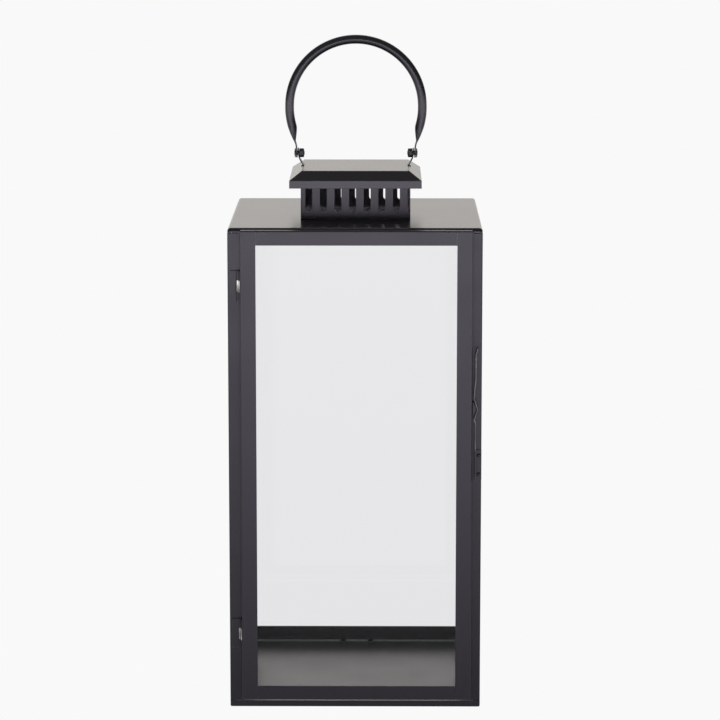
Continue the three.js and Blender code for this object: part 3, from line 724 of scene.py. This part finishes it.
# ---- Catch ----
def door_catch():
    """A riveted foot, a springing strip with a V notch, and the door's lug that snaps into it."""
    low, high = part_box("catch_foot")
    half = CATCH_SHEET / 2
    fold = [(low.x + half, low.y), (low.x + half, high.y - half), (high.x, high.y - half)]
    foot = bent_strip("catch_foot_angle", fold, "xy", low.z, high.z, CATCH_SHEET, 0.9 * MM)
    dress(foot, ["catch_foot"], "case", SHADED_COAT)

    rivet_low, rivet_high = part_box("catch_rivet_upper")
    radius = (rivet_high.x - rivet_low.x) / 2
    height = rivet_high.y - rivet_low.y
    head = lathe("rivet_pattern", dome(radius, height), Matrix.Rotation(math.pi / 2, 4, "X"), 20)
    break_edges(head, 0.05 * MM)
    head.hide_render = True
    places = []
    for level in ("lower", "upper"):
        rivet_low, rivet_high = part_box(f"catch_rivet_{level}")
        middle = (rivet_low + rivet_high) / 2
        places.append(((middle.x, rivet_high.y, middle.z), (0.0, 0.0, 0.0)))
    rivets = copies("catch_rivets", head, places)
    dress(smooth_over(rivets), ["catch_rivet_lower", "catch_rivet_upper"], "case", SHADED_COAT)
    bpy.data.objects.remove(head)

    spring_low, spring_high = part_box("catch_spring")
    root = spring_low.z
    catch_x = low.x + half
    notch = root + 36.6 * MM
    notch_half = 9.3 * MM
    notch_depth = 1.8 * MM
    run_in = 3.0 * MM
    blade = 8.0 * MM
    lip = 6.0 * MM
    lean = 0.25 * MM
    mouth = catch_x - 1.0 * MM
    line = [
        (catch_x, root),
        (catch_x, notch - notch_half - run_in),
        (mouth, notch - notch_half),
        (catch_x + notch_depth, notch),
        (mouth, notch + notch_half),
        (mouth + lean, notch + notch_half + blade),
        (catch_x + lean, notch + notch_half + 2 * blade),
        (catch_x + lean, spring_high.z - lip),
        (spring_high.x - half, spring_high.z),
    ]
    spring = bent_strip("catch_spring_strip", line, "xz", spring_low.y, spring_high.y, CATCH_SHEET, 1.5 * MM)
    dress(spring, ["catch_spring"], "catch", SPRING)
    lug = break_edges(copy_of("door_lug", "door_lug_wedge"), 0.4 * MM, 3)
    dress(lug, ["door_lug"], "door", SHADED_COAT)


def dome(radius, height, steps=6):
    """A low dome's profile, from the middle of its flat face round to its crown."""
    rim = 0.2
    points = [(0.0, 0.0)]
    for i in range(steps + 1):
        angle = i / steps * math.pi / 2
        points.append((radius * math.cos(angle), height * (rim + (1 - rim) * math.sin(angle))))
    return points


# ---- Vent and hood ----
def vent_bay(pitch, height, slot_low, slot_high, slot_width):
    """One bay of the band, flat in X and Z: a slot with round ends in the middle of a web."""
    columns = 5
    steps = 12
    radius = slot_width / 2
    centre = pitch / 2
    web = centre - radius
    bm = bmesh.new()
    rows = [0.0, slot_low + radius, slot_high - radius, height]
    for shift in (0.0, centre + radius):
        for i in range(columns):
            left = shift + web * i / columns
            right = shift + web * (i + 1) / columns
            for below, above in zip(rows, rows[1:]):
                spots = ((left, below), (right, below), (right, above), (left, above))
                bm.faces.new([bm.verts.new((x, 0.0, z)) for x, z in spots])
    for end, level, sign in ((0.0, rows[1], -1), (height, rows[2], 1)):
        for i in range(steps):
            arc = [math.pi * (1 - (i + k) / steps) for k in (0, 1)]
            near = [(centre + radius * math.cos(a), level + sign * radius * math.sin(a)) for a in arc]
            spots = ((near[0][0], end), (near[1][0], end), near[1], near[0])
            bm.faces.new([bm.verts.new((x, 0.0, z)) for x, z in spots])
    close_up(bm)
    for face in bm.faces:
        if face.normal.y > 0:
            face.normal_flip()
    return new_piece("vent_band_strip", bm)


def vent_band():
    """One slotted strip folded into a square, with a small foot at its seam. Its inner faces take a darker,
    rougher coat: painted shade inside the band.
    """
    low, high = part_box("vent_band")
    side = high.x - low.x
    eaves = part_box("vent_hood")[0].z + HOOD_SKIRT
    pitch = 12.83 * MM
    slot_width = 6 * MM
    slot_floor = 5.6 * MM
    first_slot = 7.1 * MM
    corner = 1.3 * MM
    corner_saved = 0.57 * corner
    drop = 0.25 * MM
    bay = vent_bay(pitch, high.z - low.z + drop, slot_floor + drop, eaves - low.z + drop, slot_width)
    band = grow(bay, WRAPPED_BAND, {"Side": side, "Corner Radius": corner, "Pitch": pitch,
                                    "Bays": int((4 * side - first_slot) / pitch) + 1,
                                    "Start": first_slot - pitch / 2 + corner_saved})
    band.data.transform(Matrix.Translation((0, 0, low.z - drop)))
    thicken(band, VENT_SHEET)
    break_edges(band, 0.2 * MM, 2, 50)
    foot_level = low.z + VENT_SHEET / 2
    foot = [(low.y - 2.2 * MM, foot_level), (low.y + 0.5 * MM, foot_level)]
    seam = bent_strip("seam_tab", foot, "yz", low.x + 0.8 * MM, low.x + 13.4 * MM, VENT_SHEET, 0.0)
    band = smooth_over(join_into("vent_band_strip", [band, seam]))
    # The band takes the lighter copy of the coat: painted light.
    dress(band, ["vent_band"], "case", LIT_COAT)
    # Faces turned in towards the middle get the darker coat: painted shade inside the band.
    band.data.materials.append(PAINTED_SHADE_INSIDE)
    for face in band.data.polygons:
        inwards = Vector((-face.center.x, -face.center.y, 0)).normalized()
        face.material_index = int(face.normal.dot(inwards) > 0.5)


def vent_hood():
    """Pressed from one sheet: a skirt, four slopes and a flat top that the ears come through."""
    low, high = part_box("vent_hood")
    slot_inside = 0.5 * MM
    slot_outside = 1.5 * MM
    slot_depth = 4 * MM
    above = 1 * MM
    bm = bmesh.new()
    rings = []
    for reach, height in ((high.x, low.z), (high.x, low.z + HOOD_SKIRT), (HOOD_TOP_HALF, high.z)):
        ring = [bm.verts.new((x * reach, y * reach, height)) for x, y in ((-1, -1), (1, -1), (1, 1), (-1, 1))]
        rings.append(ring)
    for lower, upper in zip(rings, rings[1:]):
        for i in range(4):
            j = (i + 1) % 4
            bm.faces.new((lower[i], lower[j], upper[j], upper[i]))
    bm.faces.new(rings[-1])
    round_folds(bm, 0.8 * MM, 8)
    hood = thicken(new_piece("vent_hood_cap", bm), HOOD_SHEET)
    for sign in (-1, 1):
        ear_low, ear_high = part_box("left_ear" if sign < 0 else "right_ear")
        near = sign * (EAR_ROOT - EAR_SHEET / 2 - slot_inside)
        far = sign * (EAR_ROOT + EAR_SHEET / 2 + slot_outside)
        cut_block(hood, (min(near, far), ear_low.y - CLEARANCE, high.z - slot_depth),
                  (max(near, far), ear_high.y + CLEARANCE, high.z + above))
    break_edges(hood, 0.2 * MM, 2, 50, smooth=False)
    dress(hood, ["vent_hood"], "case", ROOF_COAT)


# ---- Handle, ears and pivots ----
def lerp(a, b, t):
    return a + (b - a) * t


def handle_sections():
    """Sections of one limb, from its round pad up to the crown. Each has its middle, its outward way,
    its half thickness, its half width and how square it is. Coordinates are (x, z) about the arc's centre."""
    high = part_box("handle")[1]
    pivot = joint_place("handle_swing")[2]
    depth = 41.9 * MM
    reach = high.z - pivot - depth
    flare = 0.45 * MM
    tube = 4.0 * MM
    flat = PAD_SHEET / 2
    pad = 4.2 * MM
    crimp = 4.9 * MM
    neck = 7.2 * MM
    squared = 6.0
    crimp_start = math.radians(17)
    crimp_end = math.radians(30.5)
    sections = []
    for i in range(9):
        angle = math.radians(-88 + 11 * i)
        middle = Vector((-PAD_PLANE, -depth + pad * math.sin(angle)))
        sections.append((middle, Vector((-1, 0)), flat, pad * math.cos(angle), squared))
    start = Vector((-PAD_PLANE, -depth))
    bend = Vector((-PAD_PLANE, neck - depth))
    end = Vector((-math.cos(crimp_end), -math.sin(crimp_end))) * (reach + flare - flat)
    for i in range(1, 15):
        t = i / 14
        middle = start * (1 - t) ** 2 + bend * 2 * t * (1 - t) + end * t ** 2
        climb = ((bend - start) * (1 - t) + (end - bend) * t).normalized()
        sections.append((middle, Vector((-climb.y, climb.x)), flat, lerp(pad, crimp, t), squared))
    for i in range(1, 31):
        t = i / 30
        angle = lerp(crimp_end, crimp_start, t)
        swell = math.sin(t * math.pi / 2)
        outward = Vector((-math.cos(angle), -math.sin(angle)))
        thick = lerp(flat, tube, swell)
        middle = outward * (reach + flare - thick)
        sections.append((middle, outward, thick, lerp(crimp, tube, swell), lerp(squared, 2.0, swell)))
    for i in range(1, 61):
        angle = lerp(crimp_start, -math.pi / 2, i / 60)
        outward = Vector((-math.cos(angle), -math.sin(angle)))
        spread = flare * max(angle / crimp_start, 0.0)
        sections.append((outward * (reach + spread - tube), outward, tube, tube, 2.0))
    return sections, high.z - reach


def bail_handle():
    """A steel tube bent to a bow; its two ends are crimped flat and rounded off round the pivots."""
    sections, centre = handle_sections()
    around = 40
    bm = bmesh.new()
    rings = []
    mirrored = [(section, -1) for section in reversed(sections[:-1])]
    for (middle, outward, thick, wide, square), side in [(section, 1) for section in sections] + mirrored:
        ring = []
        for k in range(around):
            angle = math.tau * k / around
            across = math.copysign(abs(math.cos(angle)) ** (2 / square), math.cos(angle))
            deep = math.copysign(abs(math.sin(angle)) ** (2 / square), math.sin(angle))
            spot = middle + outward * thick * across
            ring.append(bm.verts.new((side * spot.x, wide * deep, centre + spot.y)))
        rings.append(ring)
    for below, above in zip(rings, rings[1:]):
        for k in range(around):
            j = (k + 1) % around
            bm.faces.new((below[k], below[j], above[j], above[k]))
    bm.faces.new(rings[0])
    bm.faces.new(rings[-1])
    close_up(bm)
    bail = new_piece("bail_tube", bm)
    dress(smooth_over(bail), ["handle"], "handle", HANDLE_COAT)


def ears():
    """Strips bent out above the hood, narrowing to a round end that carries the pivot screw."""
    pivot = joint_place("handle_swing")[2]
    hood_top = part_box("vent_hood")[1].z
    end_radius = 4.6 * MM
    shoulder = hood_top + 1.5 * MM
    waist = pivot - end_radius - 0.8 * MM
    flange = 9 * MM
    bend = 2 * MM
    foot_bend = hood_top + 0.8 * MM
    head_bend = pivot - 3.4 * MM
    for side, sign in (("left", -1), ("right", 1)):
        low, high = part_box(f"{side}_ear")
        half_width = high.y
        level = low.z + EAR_SHEET / 2
        line = soften([(EAR_ROOT - flange, level), (EAR_ROOT - bend, level), (EAR_ROOT, level + bend),
                       (EAR_ROOT, foot_bend), (EAR_PLANE, head_bend), (EAR_PLANE, pivot + end_radius)], 3)
        rows = []
        for x, z in line:
            if z <= shoulder:
                width = half_width
            elif z <= pivot:
                t = solve_quadratic(shoulder, waist, pivot, z)
                width = half_width * (1 - t) ** 2 + end_radius * (2 * t * (1 - t) + t * t)
            else:
                width = math.sqrt(max(end_radius ** 2 - (z - pivot) ** 2, (0.2 * MM) ** 2))
            rows.append([(sign * x, width * k / 6, z) for k in range(-6, 7)])
        bm = bmesh.new()
        grid = [[bm.verts.new(spot) for spot in row] for row in rows]
        for below, above in zip(grid, grid[1:]):
            for k in range(12):
                bm.faces.new((below[k], below[k + 1], above[k + 1], above[k]))
        bmesh.ops.recalc_face_normals(bm, faces=bm.faces)
        strip = thicken(new_piece(f"{side}_ear_strip", bm), EAR_SHEET, 0.0, False)
        dress(break_edges(strip, 0.15 * MM, 2, 50), [f"{side}_ear"], "case", SHADED_COAT)


def solve_quadratic(start, control, end, value):
    """Where a quadratic curve through these heights reaches a value."""
    low, high = 0.0, 1.0
    for _ in range(30):
        t = (low + high) / 2
        height = start * (1 - t) ** 2 + control * 2 * t * (1 - t) + end * t * t
        low, high = (t, high) if height < value else (low, t)
    return (low + high) / 2


def soften(line, times):
    """Cuts a line's corners again and again, which leaves smooth bends."""
    for _ in range(times):
        cut = [line[0]]
        for (x0, z0), (x1, z1) in zip(line, line[1:]):
            cut.append((lerp(x0, x1, 0.25), lerp(z0, z1, 0.25)))
            cut.append((lerp(x0, x1, 0.75), lerp(z0, z1, 0.75)))
        line = cut + [line[-1]]
    return line


def pivots():
    """Domed screws with a cross recess outside, and hexagon nuts inside."""
    pivot = joint_place("handle_swing")[2]
    head_height = 1.35 * MM
    shank = 2.0 * MM
    bore = shank + 0.15 * MM
    tip = 0.4 * MM
    recess = Vector((2.2, 0.45, 1.1)) * MM
    recess_turn = math.radians(20)
    for side, sign in (("left", -1), ("right", 1)):
        low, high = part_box(f"{side}_pivot_screw")
        outer = max(abs(low.x), abs(high.x))
        inner = min(abs(low.x), abs(high.x))
        head_radius = high.y
        seat = outer - head_height
        dome_points = [(r, seat + h) for r, h in dome(head_radius, head_height, 8)[1:]]
        profile = [(0, inner - tip), (shank * 0.75, inner - tip), (shank, inner), (shank, seat),
                   (head_radius, seat)] + dome_points
        outwards = Matrix.Translation((0, 0, pivot)) @ Matrix.Rotation(sign * math.pi / 2, 4, "Y")
        screw = lathe(f"{side}_pivot_screw_dome", profile, outwards, 40)
        for turn in (0.0, math.pi / 2):
            place = outwards @ Matrix.Rotation(turn + recess_turn, 4, "Z")
            cut_block(screw, (-recess.x, -recess.y, outer - recess.z),
                      (recess.x, recess.y, outer + 1 * MM), place)
        break_edges(screw, 0.08 * MM, 2, 40)
        dress(screw, [f"{side}_pivot_screw"], "case", FASTENER)

        low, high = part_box(f"{side}_pivot_nut")
        near, far = sorted((abs(low.x), abs(high.x)))
        corner = max(high.y - low.y, high.z - low.z) / 2
        hexagon = [(bore, near), (corner * 0.87, near), (corner, near + 0.6 * MM),
                   (corner, far), (bore, far), (bore, near)]
        nut = lathe(f"{side}_pivot_nut_hexagon", hexagon, outwards, 6)
        break_edges(nut, 0.25 * MM, 3)
        dress(nut, [f"{side}_pivot_nut"], "case", FASTENER)


# ---- Studio ----
def make_stage():
    """A pale floor that fills the view. What falls on the lantern from below is set apart from what is
    seen: strong from the front, where the lamps stand, weak under the lantern, and rising behind."""
    seen = linear("#f9f9f9")
    seen_through_glass = 0.85
    lamps_near, lamps_far = 0.6, 4.2
    sweep_behind = 0.7
    bm = bmesh.new()
    bmesh.ops.create_grid(bm, x_segments=1, y_segments=1, size=30)
    floor = new_piece("studio_floor", bm)
    material, tree, shader = new_material("pale_floor")
    shader.inputs["Roughness"].default_value = 0.9
    shader.inputs["Specular IOR Level"].default_value = 0.0
    glow = add(tree, "ShaderNodeEmission", {"Color": seen, "Strength": 1.0})
    shader.inputs["Base Color"].default_value = linear("#9a9a9a")
    place = add(tree, "ShaderNodeTexCoord").outputs["Object"]
    ahead = add(tree, "ShaderNodeSeparateXYZ", {"Vector": place}).outputs["Y"]
    lamps = add(tree, "ShaderNodeMapRange", {
        "Value": ahead, "From Min": -0.2, "From Max": -4.8, "To Min": lamps_near, "To Max": lamps_far})
    sweep = add(tree, "ShaderNodeMapRange", {
        "Value": ahead, "From Min": 0.3, "From Max": 2.0, "To Max": sweep_behind})
    both = add(tree, "ShaderNodeMath", {0: lamps.outputs["Result"], 1: sweep.outputs["Result"]},
               operation="ADD")
    bounce = add(tree, "ShaderNodeEmission", {"Color": linear("#ffffff"), "Strength": both.outputs[0]})
    lit = add(tree, "ShaderNodeAddShader", {0: shader.outputs[0], 1: bounce.outputs[0]})
    path = add(tree, "ShaderNodeLightPath").outputs
    behind_glass = add(tree, "ShaderNodeEmission", {"Color": seen, "Strength": seen_through_glass})
    through = add(tree, "ShaderNodeMixShader", {
        0: path["Is Transmission Ray"], 1: lit.outputs[0], 2: behind_glass.outputs[0]})
    blend = add(tree, "ShaderNodeMixShader", {
        0: path["Is Camera Ray"], 1: through.outputs[0], 2: glow.outputs[0]})
    tree.links.new(blend.outputs[0], tree.nodes["Material Output"].inputs["Surface"])
    floor.data.materials.append(material)


def make_light():
    """A soft surround: a bright, faintly warm sweep behind, little light ahead and above, and a left
    side that is brighter than the right."""
    sweep_light, front_light = 0.95, 0.15
    low_ceiling, high_ceiling = 0.1, 0.3
    left_side, right_side = 1.3, 0.7
    world = bpy.data.worlds.new("studio")
    world.use_nodes = True
    tree = world.node_tree
    way = add(tree, "ShaderNodeSeparateXYZ", {"Vector": add(tree, "ShaderNodeTexCoord").outputs["Generated"]})
    behind = add(tree, "ShaderNodeMapRange", {"Value": way.outputs["Y"], "From Min": 0.5, "From Max": 0.85,
                                              "To Max": sweep_light}, interpolation_type="SMOOTHSTEP")
    ahead = add(tree, "ShaderNodeMapRange", {"Value": way.outputs["Y"], "From Min": -0.5, "From Max": -0.95,
                                             "To Max": front_light}, interpolation_type="SMOOTHSTEP")
    ceiling = add(tree, "ShaderNodeMapRange", {"Value": way.outputs["Z"], "From Min": 0.2, "From Max": 1.0,
                                               "To Min": low_ceiling, "To Max": high_ceiling})
    sweep = add(tree, "ShaderNodeMath", {0: behind.outputs["Result"], 1: ahead.outputs["Result"]},
                operation="ADD")
    side = add(tree, "ShaderNodeMapRange", {"Value": way.outputs["X"], "From Min": -1.0, "From Max": 1.0,
                                            "To Min": left_side, "To Max": right_side})
    light = add(tree, "ShaderNodeMath", {0: sweep.outputs[0], 1: ceiling.outputs["Result"]},
                operation="ADD")
    sided = add(tree, "ShaderNodeMath", {0: light.outputs[0], 1: side.outputs["Result"]},
                operation="MULTIPLY")
    glow = tree.nodes["Background"]
    warm = add(tree, "ShaderNodeMix", {"Factor": behind.outputs["Result"], "A": linear("#ffffff"),
                                       "B": linear("#fffbf5")}, data_type="RGBA")
    tree.links.new(warm.outputs["Result"], glow.inputs["Color"])
    tree.links.new(sided.outputs[0], glow.inputs["Strength"])
    bpy.context.scene.world = world
    bpy.context.scene.view_settings.view_transform = "Standard"


make_camera()

# Two copies of one satin black coat: the case's is painted darker as painted shade on the posts, tray and
# rails; the door's and vent band's is painted lighter as painted light.
SHADED_COAT = powder_coat("satin_black_powder_coat", "#0d0c0f", "#131215", 0.28, 0.34, 0.10)
LIT_COAT = powder_coat("satin_black_powder_coat_door", "#1a191d", "#201f24", 0.28, 0.33, 0.10)
ROOF_COAT = powder_coat("satin_black_powder_coat_lid", "#121114", "#161518", 0.225, 0.235, 0.05)
# A darker, rougher copy of the coat for the vent band's inner faces: painted shade.
PAINTED_SHADE_INSIDE = powder_coat("thin_dull_coat_inside_the_vent", "#0b0b0c", "#101011", 0.6, 0.7, 0.05)
HANDLE_COAT = powder_coat("black_powder_coat_on_tube", "#101012", "#151417", 0.24, 0.28, 0.08)
TAB_BLACK = powder_coat("black_paint_on_tabs", "#121214", "#18181a", 0.34, 0.42, 0.05)
FASTENER = powder_coat("black_paint_on_fasteners", "#08080a", "#0d0d0f", 0.32, 0.4, 0.05)
GLASS = float_glass()
HINGE_STEEL = rubbed_steel("rubbed_hinge_steel", "#252427", "#c3c2c0", 0.25, 0.95)
SPRING = rubbed_steel("painted_spring_steel", "#2b2a2d", "#b5b4b2", 0.02, 0.3)
BENT_STRIP = bent_strip_tree()
COPIES = copies_tree()
WRAPPED_BAND = wrapped_band_tree()

base_tray()
corner_posts()
case_rails()
roof_panel()
for glass_node in ("back_glass", "left_glass", "right_glass"):
    pane(glass_node, "case")
pane("door_glass", "door")
pane_tabs()
door_tabs()
door_frame()
hinges()
door_catch()
vent_band()
vent_hood()
bail_handle()
ears()
pivots()
make_stage()
make_light()
